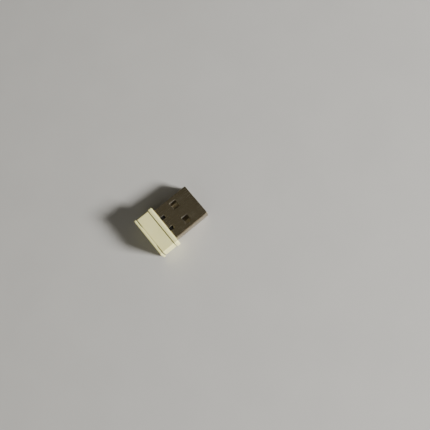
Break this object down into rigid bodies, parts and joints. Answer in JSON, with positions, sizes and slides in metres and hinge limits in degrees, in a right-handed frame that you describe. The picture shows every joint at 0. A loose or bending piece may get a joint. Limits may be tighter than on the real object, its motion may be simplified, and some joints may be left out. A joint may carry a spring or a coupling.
{
  "type": "usb wifi adapter",
  "caption": "Nano USB network adapter: a Standard-A plug of folded nickel-plated sheet with a short cream cap that has a raised flange at each end.",
  "frame": {"origin": "centre of the bounding box, on the level of the lowest line of the cap flanges; the plug axis is 3.2 mm above it and the shoulder is at x = -2.98 mm", "axes": "+X out of the mouth of the plug, +Y across its width, +Z the contact side"},
  "size_m": [0.0204, 0.0148, 0.0064],
  "materials": {
    "nickel": "bright nickel plating on folded steel strip, fine draw lines",
    "cream": "cream-white moulded ABS, satin gloss",
    "insulator": "black glass-filled liquid-crystal polymer",
    "board": "brown laminate under a clear mask",
    "gold": "hard gold plating over nickel on copper",
    "trace": "copper under solder mask",
    "epoxy": "black moulding compound",
    "can": "nickel-plated lid",
    "ceramic_chip": "tan multilayer ceramic with tinned ends",
    "ferrite": "dark grey ferrite with tinned ends",
    "blue_ceramic": "blue-grey ceramic with tinned ends",
    "resistor": "black overglaze with tinned ends",
    "solder": "reflowed tin solder"
  },
  "bodies": {
    "root": {"plug_shell": "nickel", "cap_sleeve": "cream", "cap_end_plate": "cream", "board_carrier": "insulator", "board_clamp": "insulator", "circuit_board": "board", "contact_power": "gold", "contact_data_minus": "gold", "contact_data_plus": "gold", "contact_ground": "gold", "antenna_trace": "trace", "wifi_chip": "epoxy", "crystal": "can", "crystal_capacitor_1": "ceramic_chip", "crystal_capacitor_2": "ceramic_chip", "voltage_regulator": "epoxy", "power_inductor": "ferrite", "input_capacitor": "ceramic_chip", "output_capacitor": "ceramic_chip", "ferrite_bead": "ferrite", "decoupling_capacitor_1": "ceramic_chip", "decoupling_capacitor_2": "ceramic_chip", "decoupling_capacitor_3": "ceramic_chip", "decoupling_capacitor_4": "ceramic_chip", "bias_resistor": "resistor", "esd_protector": "epoxy", "matching_inductor": "blue_ceramic", "matching_capacitor_1": "ceramic_chip", "matching_capacitor_2": "ceramic_chip", "shell_solder_left": "solder", "shell_solder_right": "solder"}
  },
  "joints": []
}
